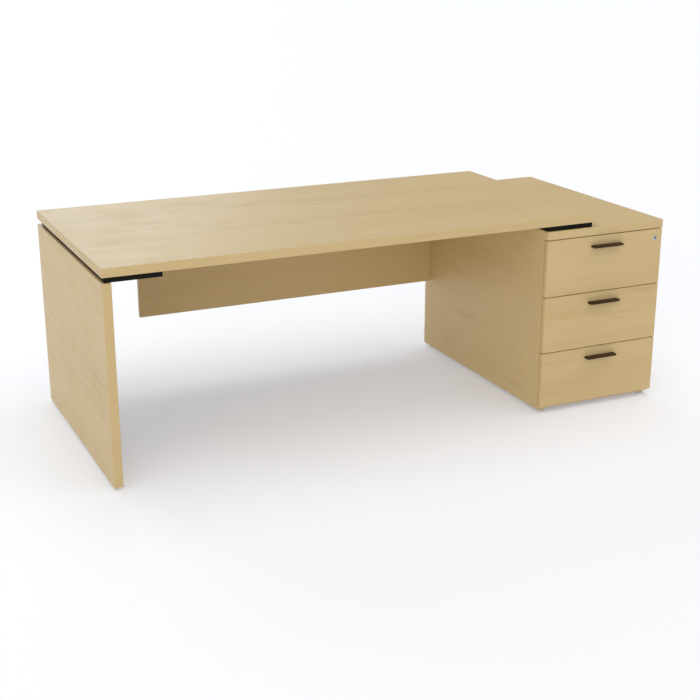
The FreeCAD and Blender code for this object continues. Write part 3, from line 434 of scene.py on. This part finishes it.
def haze_group():
    """Handling marks: a soft unevenness in the sheen."""
    group, given, result = new_group(
        "handling_haze", [("Vector", VECTOR), ("Roughness", NUMBER), ("Amount", NUMBER)],
        [("Roughness", NUMBER)])
    clouds = noise(group, given["Vector"], HANDLING, detail=4.0, roughness=0.6, distortion=0.4)
    marks = times(group, spread(group, clouds, 0.42, 0.68), given["Amount"])
    group.links.new(plus(group, marks, given["Roughness"]), result["Roughness"])
    return group


def grit_group():
    """Fine even texture of powder coat and moulded plastic: height, and a speckle in the tone."""
    group, given, result = new_group(
        "fine_grit", [("Vector", VECTOR), ("Cells", NUMBER), ("Color", COLOUR)],
        [("Height", NUMBER), ("Color", COLOUR)])
    scaled = add(group, "ShaderNodeVectorMath", {0: given["Vector"], "Scale": given["Cells"]},
                 operation="SCALE")
    texture = add(group, "ShaderNodeTexNoise", {"Vector": scaled.outputs[0], "Scale": 1.0, "Detail": 2.0})
    group.links.new(texture.outputs["Fac"], result["Height"])
    speck = spread(group, texture.outputs["Fac"], 0.45, 0.75)
    lifted = blend(group, 1.0, given["Color"], SPECK_LIFT, "MULTIPLY")
    group.links.new(blend(group, speck, given["Color"], lifted), result["Color"])
    return group


def brushed_group():
    """Drawn or rolled metal: fine lines along X in the tone, the sheen and the height."""
    group, given, result = new_group(
        "brushed_lines", [("Vector", VECTOR), ("Color", COLOUR), ("Roughness", NUMBER)],
        [("Color", COLOUR), ("Roughness", NUMBER), ("Height", NUMBER)])
    lines = noise(group, given["Vector"], DRAWN_LINES, detail=2.0)
    stains = noise(group, given["Vector"], STAINS, detail=3.0)
    tone = plus(group, times(group, lines, LINE_SHARE), times(group, stains, STAIN_SHARE))
    darker = blend(group, 1.0, given["Color"], STAIN_TINT, "MULTIPLY")
    group.links.new(blend(group, spread(group, tone, 0.36, 0.66), darker, given["Color"]), result["Color"])
    rough = plus(group, spread(group, tone, 0.3, 0.7, to_low=0.08, to_high=-0.06), given["Roughness"])
    group.links.new(rough, result["Roughness"])
    group.links.new(lines, result["Height"])
    return group


def wear_and_highlight_group():
    """Wear along the eased edges: patches rubbed paler; on the pulls the paler colour is partly a painted
    highlight.
    """
    group, given, result = new_group(
        "edge_wear_and_highlight", [("Vector", VECTOR), ("Edge", NUMBER), ("Color", COLOUR), ("Wear And Highlight", COLOUR)],
        [("Color", COLOUR)])
    patches = noise(group, given["Vector"], RUB_PATCHES, detail=4.0, roughness=0.65)
    worn = times(group, spread(group, patches, 0.4, 0.75), given["Edge"])
    group.links.new(blend(group, worn, given["Color"], given["Wear And Highlight"]), result["Color"])
    return group


GROUP_MAKERS = {"edge_wear_and_highlight": wear_and_highlight_group, "beech_figure": wood_group, "handling_haze": haze_group,
                "fine_grit": grit_group, "brushed_lines": brushed_group}


def use_group(tree, name, inputs):
    """The outputs of a shared group, made on its first use and placed in a material with its own values."""
    group = bpy.data.node_groups.get(name) or GROUP_MAKERS[name]()
    return add(tree, "ShaderNodeGroup", inputs, node_tree=group).outputs


def new_finish(name):
    """An empty material: its tree, its shader and its object coordinates."""
    material = bpy.data.materials.new(name)
    material.use_nodes = True
    tree = material.node_tree
    shader = tree.nodes["Principled BSDF"]
    where = tree.nodes.new("ShaderNodeTexCoord").outputs["Object"]
    return material, tree, shader, where


def relief(tree, shader, height, distance, strength=1.0):
    """Height in metres as a bump on the shader."""
    bump = add(tree, "ShaderNodeBump", {"Height": height, "Distance": distance, "Strength": strength})
    tree.links.new(bump.outputs["Normal"], shader.inputs["Normal"])


def wood_finish(name, light, dark, fleck, rubbed, fleck_amount, turn=None, strip=False):
    """Beech-look laminate. A turn lays the grain along another axis; a strip follows its own map."""
    material, tree, shader, place = new_finish(name)
    where = place
    if strip:
        where = add(tree, "ShaderNodeUVMap", uv_map=STRIP_MAP).outputs["UV"]
    if turn:
        where = add(tree, "ShaderNodeMapping", {"Vector": where, "Rotation": turn}).outputs[0]
    figure = use_group(tree, "beech_figure", {"Vector": where, "Light": light, "Dark": dark, "Fleck": fleck,
                                              "Fleck Amount": fleck_amount})
    haze = use_group(tree, "handling_haze", {"Vector": place, "Roughness": figure["Roughness"],
                                             "Amount": WOOD_HAZE})
    edge = add(tree, "ShaderNodeAttribute", attribute_name=RUB).outputs["Fac"]
    worn = use_group(tree, "edge_wear_and_highlight", {"Vector": place, "Edge": edge, "Color": figure["Color"],
                                        "Wear And Highlight": rubbed})
    tree.links.new(worn["Color"], shader.inputs["Base Color"])
    tree.links.new(haze["Roughness"], shader.inputs["Roughness"])
    relief(tree, shader, figure["Height"], WOOD_RELIEF, WOOD_RELIEF_SHOWN)
    return material


def coat_finish(name, tint, roughness, cells, depth, shine=0.5):
    """Powder coat or moulded plastic."""
    material, tree, shader, where = new_finish(name)
    grit = use_group(tree, "fine_grit", {"Vector": where, "Cells": cells, "Color": tint})
    haze = use_group(tree, "handling_haze", {"Vector": where, "Roughness": roughness, "Amount": COAT_HAZE})
    tree.links.new(grit["Color"], shader.inputs["Base Color"])
    tree.links.new(haze["Roughness"], shader.inputs["Roughness"])
    shader.inputs["Specular IOR Level"].default_value = shine
    relief(tree, shader, grit["Height"], depth)
    return material


def metal_finish(name, tint, rubbed, roughness, metallic=1.0, turn=None, shine=0.5):
    """Plated or bronzed metal with drawn lines."""
    material, tree, shader, place = new_finish(name)
    where = place
    if turn:
        where = add(tree, "ShaderNodeMapping", {"Vector": place, "Rotation": turn}).outputs[0]
    lines = use_group(tree, "brushed_lines", {"Vector": where, "Color": tint, "Roughness": roughness})
    haze = use_group(tree, "handling_haze", {"Vector": where, "Roughness": lines["Roughness"],
                                             "Amount": METAL_HAZE})
    # On the pulls the paler colour along the edges is partly a painted highlight
    edge = add(tree, "ShaderNodeAttribute", attribute_name=RUB).outputs["Fac"]
    worn = use_group(tree, "edge_wear_and_highlight", {"Vector": place, "Edge": edge, "Color": lines["Color"],
                                        "Wear And Highlight": rubbed})
    tree.links.new(worn["Color"], shader.inputs["Base Color"])
    tree.links.new(haze["Roughness"], shader.inputs["Roughness"])
    shader.inputs["Metallic"].default_value = metallic
    shader.inputs["Specular IOR Level"].default_value = shine
    relief(tree, shader, lines["Height"], METAL_RELIEF)
    return material


def finishes(colours):
    """Every finish by name, made on the first call."""
    wood = {"light": colours.wood_light, "dark": colours.wood_dark, "fleck": colours.wood_fleck,
            "rubbed": colours.wood_rubbed}
    box = {"light": colours.box_light, "dark": colours.box_dark, "fleck": colours.box_dark,
           "rubbed": colours.box_light}
    dowel = {"light": colours.dowel, "dark": colours.wood_dark, "fleck": colours.wood_fleck,
             "rubbed": colours.dowel}
    makers = {
        "laminate_long": lambda name: wood_finish(name, fleck_amount=0.3, **wood),
        "laminate_deep": lambda name: wood_finish(name, fleck_amount=0.3, turn=ALONG_Y, **wood),
        "laminate_strip": lambda name: wood_finish(name, fleck_amount=0.15, strip=True, **wood),
        "box_melamine": lambda name: wood_finish(name, fleck_amount=0.1, turn=ALONG_Y, **box),
        "dowel_beech": lambda name: wood_finish(name, fleck_amount=0.3, **dowel),
        "rail_powder_coat": lambda name: coat_finish(
            name, colours.rail_black, roughness=0.6, cells=1500.0, depth=0.00003, shine=0.12),
        "cap_moulding": lambda name: coat_finish(
            name, colours.cap_black, roughness=0.6, cells=2200.0, depth=0.00002, shine=0.12),
        "foot_moulding": lambda name: coat_finish(
            name, colours.foot_beige, roughness=0.5, cells=2200.0, depth=0.00002),
        # The pulls' edge colour is partly wear and partly a painted highlight
        "bronze_coat": lambda name: metal_finish(
            name, colours.pull_bronze, colours.pull_wear_and_highlight, roughness=0.4, metallic=0.1, shine=0.14),
        "nickel_plate": lambda name: metal_finish(
            name, colours.nickel, colours.nickel, roughness=0.24, turn=ALONG_Z),
        "nickel_polish": lambda name: metal_finish(
            name, colours.rim_nickel, colours.rim_nickel, roughness=0.16),
        "zinc_plate": lambda name: metal_finish(
            name, colours.zinc, colours.zinc, roughness=0.34, turn=ALONG_Y),
    }
    return {name: bpy.data.materials.get(name) or make(name) for name, make in makers.items()}


# Operators, one for each piece or group of like pieces

# Rounded slope around the lock's face: how far in from the rim and how far down, as shares of the bevel
LOCK_SLOPE = ((1.0, 0.0), (0.45, 0.18), (0.12, 0.5), (0.0, 0.8))
# Rounded rim of a foot: how far in from the rim and how far up, as shares of the edge's rounding
FOOT_ROUND = ((1.4, 0.0), (0.4, 0.3), (0.0, 1.0))
# Flat middle of a foot's underside as a share of its radius, and the points round it for each rib
FOOT_PAD = 0.55
STEPS_PER_RIB = 8


class PieceOperator:
    """What every piece's operator reads."""
    bl_options = {"REGISTER", "UNDO"}

    def settings(self, context):
        """The sizes and the finishes."""
        scene = context.scene
        return scene.desk_sizes, finishes(scene.desk_colours)


def edged_board(node, across, body, sizes, materials):
    """An edged board in the place of its solid."""
    low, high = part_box(node)
    piece = board(node + "_board", low, high, across, [sizes.board_corner] * 4, sizes.board_ease,
                  sizes.edging, sizes.joint, body, materials)
    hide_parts(node)


class DESK_OT_worktop(PieceOperator, bpy.types.Operator):
    """Adds the worktop with its edging"""
    bl_idname = "desk.worktop"
    bl_label = "Worktop"

    def execute(self, context):
        sizes, finish = self.settings(context)
        edged_board("worktop", 2, "desk", sizes, [finish["laminate_long"], finish["laminate_strip"]])
        return {"FINISHED"}


class DESK_OT_slab_leg(PieceOperator, bpy.types.Operator):
    """Adds the slab leg with its edging"""
    bl_idname = "desk.slab_leg"
    bl_label = "Slab leg"

    def execute(self, context):
        sizes, finish = self.settings(context)
        edged_board("slab_leg", 0, "desk", sizes, [finish["laminate_deep"], finish["laminate_strip"]])
        return {"FINISHED"}


class DESK_OT_modesty_panel(PieceOperator, bpy.types.Operator):
    """Adds the modesty panel and finishes its brackets"""
    bl_idname = "desk.modesty_panel"
    bl_label = "Modesty panel"

    def execute(self, context):
        sizes, finish = self.settings(context)
        edged_board("modesty_panel", 1, "desk", sizes, [finish["laminate_long"], finish["laminate_strip"]])
        ease_solid(NODES["modesty_brackets"], sizes.solid_ease)
        paint(NODES["modesty_brackets"], finish["zinc_plate"])
        return {"FINISHED"}


class DESK_OT_carcass(PieceOperator, bpy.types.Operator):
    """Adds the pedestal's top and finishes its carcass"""
    bl_idname = "desk.carcass"
    bl_label = "Carcass"

    def execute(self, context):
        sizes, finish = self.settings(context)
        edged_board("pedestal_top", 2, "desk", sizes, [finish["laminate_long"], finish["laminate_strip"]])
        grain = {"pedestal_left_side": "laminate_deep", "pedestal_right_side": "laminate_deep",
                 "pedestal_bottom": "laminate_long", "pedestal_back": "laminate_long"}
        for node, name in grain.items():
            ease_solid(NODES[node], sizes.solid_ease)
            paint(NODES[node], finish[name])
        return {"FINISHED"}


class DESK_OT_drawer_fronts(PieceOperator, bpy.types.Operator):
    """Adds the drawer fronts with their edging"""
    bl_idname = "desk.drawer_fronts"
    bl_label = "Drawer fronts"

    def execute(self, context):
        sizes, finish = self.settings(context)
        for number in DRAWERS:
            edged_board(f"drawer_{number}_front", 1, f"drawer_{number}", sizes,
                        [finish["laminate_long"], finish["laminate_strip"]])
        return {"FINISHED"}


class DESK_OT_drawer_boxes(PieceOperator, bpy.types.Operator):
    """Adds the drawer boxes' boards"""
    bl_idname = "desk.drawer_boxes"
    bl_label = "Drawer boxes"

    def execute(self, context):
        sizes, finish = self.settings(context)
        for number in DRAWERS:
            for part, across in (("left_side", 0), ("right_side", 0), ("back", 1), ("bottom", 2)):
                node = f"drawer_{number}_{part}"
                low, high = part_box(node)
                piece = board(node + "_board", low, high, across, [sizes.box_ease] * 4, sizes.box_ease, 0.0,
                              0.0, f"drawer_{number}", [finish["box_melamine"]])
                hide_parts(node)
        return {"FINISHED"}


class DESK_OT_pulls(PieceOperator, bpy.types.Operator):
    """Adds the pulls"""
    bl_idname = "desk.pulls"
    bl_label = "Pulls"

    def execute(self, context):
        sizes, finish = self.settings(context)
        for number in DRAWERS:
            node = f"drawer_{number}_pull"
            low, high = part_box(node)
            corners = [sizes.pull_ease, sizes.pull_ease, sizes.pull_corner, sizes.pull_corner]
            piece = board(node + "_tab", low, high, 2, corners, sizes.pull_ease, 0.0, 0.0,
                          f"drawer_{number}", [finish["bronze_coat"]])
            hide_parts(node)
        return {"FINISHED"}


class DESK_OT_lock(PieceOperator, bpy.types.Operator):
    """Adds the lock's housing and finishes its barrel and the locking bar"""
    bl_idname = "desk.lock"
    bl_label = "Lock"

    def execute(self, context):
        sizes, finish = self.settings(context)
        low, high = (np.array(corner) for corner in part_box("lock_housing"))
        centre = (low + high) / 2
        centre[1] = low[1]
        rim = (high[0] - low[0]) / 2
        depth = high[1] - low[1]
        bore, lip, body, face = sizes.lock_bore, sizes.lock_lip, sizes.lock_body, sizes.lock_face
        slope = [(rim - sizes.lock_bevel * inward, sizes.lock_bevel * down) for inward, down in LOCK_SLOPE]
        section = [(bore, depth), (bore, lip), (bore + lip, 0.0), *slope, (rim, face), (body, face),
                   (body, depth), (bore, depth)]
        piece = turned("lock_housing_ring", section, centre, (0, 1, 0), "drawer_1",
                       finish["nickel_polish"])
        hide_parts("lock_housing")
        paint(NODES["lock_barrel"], finish["nickel_plate"])
        ease_solid(NODES["locking_bar"], sizes.solid_ease)
        paint(NODES["locking_bar"], finish["zinc_plate"])
        return {"FINISHED"}


class DESK_OT_rails(PieceOperator, bpy.types.Operator):
    """Finishes the black rails and their end caps"""
    bl_idname = "desk.rails"
    bl_label = "Rails"

    def execute(self, context):
        sizes, finish = self.settings(context)
        for node, name in (("leg_rail", "rail_powder_coat"), ("pedestal_rail", "rail_powder_coat"),
                           ("rail_end_caps", "cap_moulding")):
            ease_solid(NODES[node], sizes.solid_ease)
            paint(NODES[node], finish[name])
        return {"FINISHED"}


class DESK_OT_runners(PieceOperator, bpy.types.Operator):
    """Finishes the runners"""
    bl_idname = "desk.runners"
    bl_label = "Runners"

    def execute(self, context):
        finish = self.settings(context)[1]
        for number in DRAWERS:
            for member in ("cabinet", "middle", "drawer"):
                paint(NODES[f"drawer_{number}_{member}_runners"], finish["zinc_plate"])
        return {"FINISHED"}


class DESK_OT_feet(PieceOperator, bpy.types.Operator):
    """Adds the levelling feet"""
    bl_idname = "desk.feet"
    bl_label = "Feet"

    def execute(self, context):
        sizes, finish = self.settings(context)
        for node in FEET:
            low, high = (np.array(corner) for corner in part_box(node))
            rim = (high[0] - low[0]) / 2
            top = high[2] - low[2]
            seat = top - sizes.foot_stem_length
            under = [(rim - sizes.foot_edge * inward, sizes.foot_edge * up) for inward, up in FOOT_ROUND]
            over = [(radius, seat - height) for radius, height in reversed(under)]
            section = np.array([(rim * FOOT_PAD, 0.0), *under, (rim, seat / 2), *over,
                                (sizes.foot_stem, seat), (sizes.foot_stem, top)])
            ribbed = np.where(np.isclose(section[:, 0], rim), sizes.foot_rib, 0.0)
            centre = ((low[0] + high[0]) / 2, (low[1] + high[1]) / 2, low[2])
            piece = turned(node + "_glide", section, centre, (0, 0, 1), node,
                           finish["foot_moulding"], around=sizes.foot_ribs * STEPS_PER_RIB,
                           ripple=(ribbed, sizes.foot_ribs))
            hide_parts(node)
        return {"FINISHED"}


class DESK_OT_fasteners(PieceOperator, bpy.types.Operator):
    """Finishes the bolts, screws, inserts, cams and dowels"""
    bl_idname = "desk.fasteners"
    bl_label = "Fasteners"

    def execute(self, context):
        finish = self.settings(context)[1]
        metal = ["rail_bolts", "pedestal_bolts", "threaded_inserts", "modesty_screws", "carcass_cams",
                 "carcass_cam_bolts", "runner_screws", "foot_inserts"]
        for node in metal + [f"drawer_{number}_fixings" for number in DRAWERS]:
            paint(NODES[node], finish["zinc_plate"])
        paint(NODES["carcass_dowels"], finish["dowel_beech"])
        return {"FINISHED"}


# Stage

# Where each soft light comes from, and how wide it looks in degrees
LIGHT_WAYS = {
    "above": ((0.14, -0.07, 1.0), 80),
    "behind_low": ((-0.05, 1.0, 0.28), 46),
    "front_left": ((-0.5, -1.0, 0.8), 90),
    "front_low": ((-0.9, -1.0, 0.3), 60),
}
WHITE = (1.0, 1.0, 1.0)
# Half the floor's side in metres, its roughness, and how much paler it gets in its clouds
FLOOR_REACH = 60.0
FLOOR_ROUGHNESS = 0.7
FLOOR_PALER = 1.02
# The room's strength where the camera sees it, and the camera's film width in millimetres
ROOM_SEEN = 1.0
FILM_WIDTH = 36.0


def soft_light(name, strength, tint=WHITE):
    """A wide, far light that comes from one side, the same all over the floor."""
    way, width = LIGHT_WAYS[name]
    light = bpy.data.lights.new(name, "SUN")
    light.color = tint
    light.energy = strength
    light.angle = math.radians(width)
    lamp = bpy.data.objects.new(name, light)
    lamp.rotation_euler = Vector(way).to_track_quat("Z", "Y").to_euler()
    bpy.context.scene.collection.objects.link(lamp)


def studio_floor(tint, glow_tint, glow):
    """A wide pale floor that glows a little."""
    material, tree, shader, where = new_finish("studio_floor")
    clouds = noise(tree, where, FLOOR_CLOUDS, detail=2.0)
    paler = [min(1.0, channel * FLOOR_PALER) for channel in tint[:3]] + [1.0]
    tree.links.new(blend(tree, clouds, tint, paler), shader.inputs["Base Color"])
    shader.inputs["Roughness"].default_value = FLOOR_ROUGHNESS
    shader.inputs["Emission Color"].default_value = glow_tint
    shader.inputs["Emission Strength"].default_value = glow
    mesh = bpy.data.meshes.new("studio_floor")
    sides = ((-1, -1), (1, -1), (1, 1), (-1, 1))
    mesh.from_pydata([(x * FLOOR_REACH, y * FLOOR_REACH, 0.0) for x, y in sides], [], [(0, 1, 2, 3)])
    mesh.materials.append(material)
    floor = bpy.data.objects.new("studio_floor", mesh)
    bpy.context.scene.collection.objects.link(floor)


def studio_room(strength):
    """An even white room that the camera sees brighter than it lights the desk."""
    world = bpy.data.worlds.new("studio_room")
    world.use_nodes = True
    tree = world.node_tree
    room = tree.nodes["Background"]
    room.inputs["Color"].default_value = (*WHITE, 1.0)
    seen = add(tree, "ShaderNodeLightPath").outputs["Is Camera Ray"]
    tree.links.new(spread(tree, seen, 0.0, 1.0, strength, ROOM_SEEN), room.inputs["Strength"])
    bpy.context.scene.world = world


def studio_camera(stage):
    """The camera where the photo was taken from."""
    data = bpy.data.cameras.new("camera")
    data.lens = stage.lens
    data.sensor_width = FILM_WIDTH
    camera = bpy.data.objects.new("camera", data)
    camera.location = stage.camera_place
    camera.rotation_euler = (math.pi / 2 - stage.camera_down, 0.0, -stage.camera_right)
    bpy.context.scene.collection.objects.link(camera)
    bpy.context.scene.camera = camera


class DESK_OT_stage(bpy.types.Operator):
    """Adds the floor, the lights and the camera"""
    bl_idname = "desk.stage"
    bl_label = "Stage"
    bl_options = {"REGISTER", "UNDO"}

    def execute(self, context):
        stage = context.scene.desk_stage
        colours = context.scene.desk_colours
        studio_floor(list(colours.floor), colours.floor_glow, stage.glow)
        studio_room(stage.room)
        soft_light("above", stage.above)
        soft_light("behind_low", stage.behind_low, stage.behind_tint)
        soft_light("front_left", stage.front_left)
        soft_light("front_low", stage.front_low)
        studio_camera(stage)
        context.scene.view_settings.view_transform = "Standard"
        return {"FINISHED"}


# Panel and registration


PIECES = (DESK_OT_worktop, DESK_OT_slab_leg, DESK_OT_modesty_panel, DESK_OT_carcass, DESK_OT_drawer_fronts,
          DESK_OT_drawer_boxes, DESK_OT_pulls, DESK_OT_lock, DESK_OT_rails, DESK_OT_runners, DESK_OT_feet,
          DESK_OT_fasteners, DESK_OT_stage)


class DESK_PT_pieces(bpy.types.Panel):
    """Lists the sizes, the colours, the stage and the pieces"""
    bl_idname = "DESK_PT_pieces"
    bl_label = "Pedestal desk"
    bl_space_type = "VIEW_3D"
    bl_region_type = "UI"
    bl_category = "Desk"

    def draw(self, context):
        column = self.layout.column()
        for group in (context.scene.desk_sizes, context.scene.desk_colours, context.scene.desk_stage):
            for name in group.__annotations__:
                column.prop(group, name)
        for piece in PIECES:
            column.operator(piece.bl_idname)


GROUPS = {"desk_sizes": DeskSizes, "desk_colours": DeskColours, "desk_stage": DeskStage}


def register():
    """Registers the groups, the operators and the panel."""
    for group in GROUPS.values():
        bpy.utils.register_class(group)
    for name, group in GROUPS.items():
        setattr(bpy.types.Scene, name, bpy.props.PointerProperty(type=group))
    for piece in PIECES:
        bpy.utils.register_class(piece)
    bpy.utils.register_class(DESK_PT_pieces)


def unregister():
    """Takes back what register did, in the opposite order."""
    bpy.utils.unregister_class(DESK_PT_pieces)
    for piece in reversed(PIECES):
        bpy.utils.unregister_class(piece)
    for name, group in reversed(GROUPS.items()):
        delattr(bpy.types.Scene, name)
        bpy.utils.unregister_class(group)


def main():
    """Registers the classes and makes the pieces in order."""
    register()
    for piece in PIECES:
        getattr(bpy.ops.desk, piece.bl_idname.split(".")[1])()


if __name__ == "__main__":
    main()
